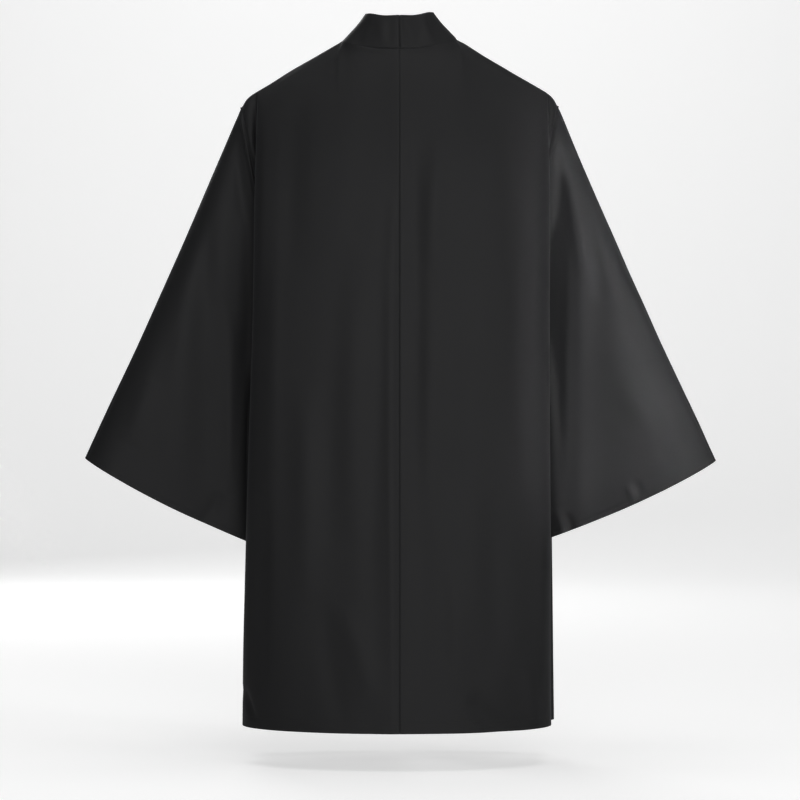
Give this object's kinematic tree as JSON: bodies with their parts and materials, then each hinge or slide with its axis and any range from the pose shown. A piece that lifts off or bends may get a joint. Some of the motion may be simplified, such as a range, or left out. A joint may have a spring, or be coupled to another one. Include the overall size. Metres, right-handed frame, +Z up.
{
  "type": "kimono jacket",
  "caption": "Hip-length open-front kimono jacket with wide hanging sleeves and a band collar that runs down both fronts, in the form of a wearer with nobody inside.",
  "frame": {"origin": "base of the neck, on the centre line, level with the points where the shoulder seams meet the collar", "axes": "+Z up, the garment faces -Y, its back faces +Y, and the wearer's left is +X"},
  "size_m": [0.7798, 0.2295, 0.879],
  "materials": {
    "black_cloth": "smooth plain-woven black polyester cloth with a soft sheen",
    "black_band": "the same black cloth, folded double for the collar band, pressed flat"
  },
  "bodies": {
    "root": {"back_left": "black_cloth", "front_left": "black_cloth", "sleeve_back_left": "black_cloth", "sleeve_front_left": "black_cloth", "collar_left": "black_band", "back_right": "black_cloth", "front_right": "black_cloth", "sleeve_back_right": "black_cloth", "sleeve_front_right": "black_cloth", "collar_right": "black_band"}
  },
  "joints": []
}
